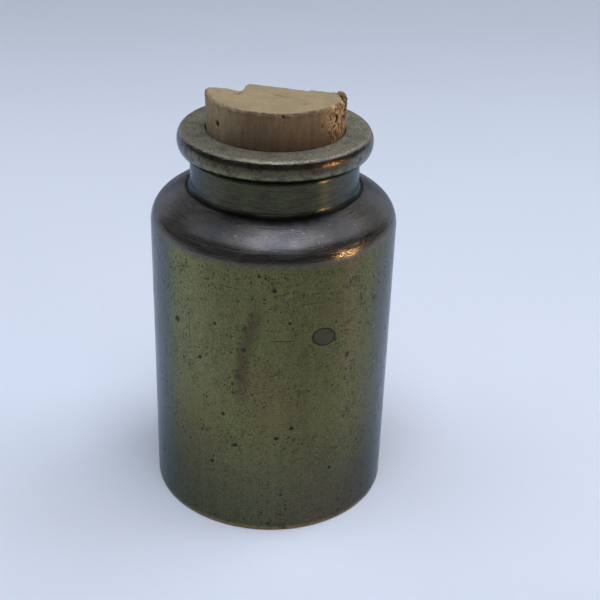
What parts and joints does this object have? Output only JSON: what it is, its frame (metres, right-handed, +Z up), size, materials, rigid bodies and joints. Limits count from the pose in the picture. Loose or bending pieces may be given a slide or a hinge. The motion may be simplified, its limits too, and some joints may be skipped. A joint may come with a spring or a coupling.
{
  "type": "needle case",
  "caption": "Small round brass bottle with a sloping shoulder, short neck and rounded lip, closed by a broken cork, holding sewing needles.",
  "frame": {"origin": "centre of the base, on the surface that the case stands on", "axes": "+Z up along the bottle's axis, towards the cork; -Y towards the side where the cork's top is whole; +X to the right when looking along +Y"},
  "size_m": [0.032, 0.032, 0.0562],
  "materials": {
    "tarnished_brass": "worn polished brass with an olive-brown tarnish, pits, stains and fine scratches",
    "worn_lip_brass": "dull, grainy grey-brown brass, brighter where it is rubbed",
    "cork": "dry natural cork with upright grain, pores and a broken back edge",
    "needle_steel": "bright nickel-plated steel"
  },
  "bodies": {
    "case": {"body_shell": "tarnished_brass", "base_disc": "tarnished_brass", "neck_collar": "tarnished_brass", "lip_ring": "worn_lip_brass", "needle_1": "needle_steel", "needle_2": "needle_steel", "needle_3": "needle_steel", "needle_4": "needle_steel", "needle_5": "needle_steel"},
    "stopper": {"cork_stopper": "cork"}
  },
  "joints": [
    {"name": "stopper_lift", "type": "slide", "parent": "case", "child": "stopper", "axis": [0, 0, 1], "range_m": [0, 0.014]}
  ]
}
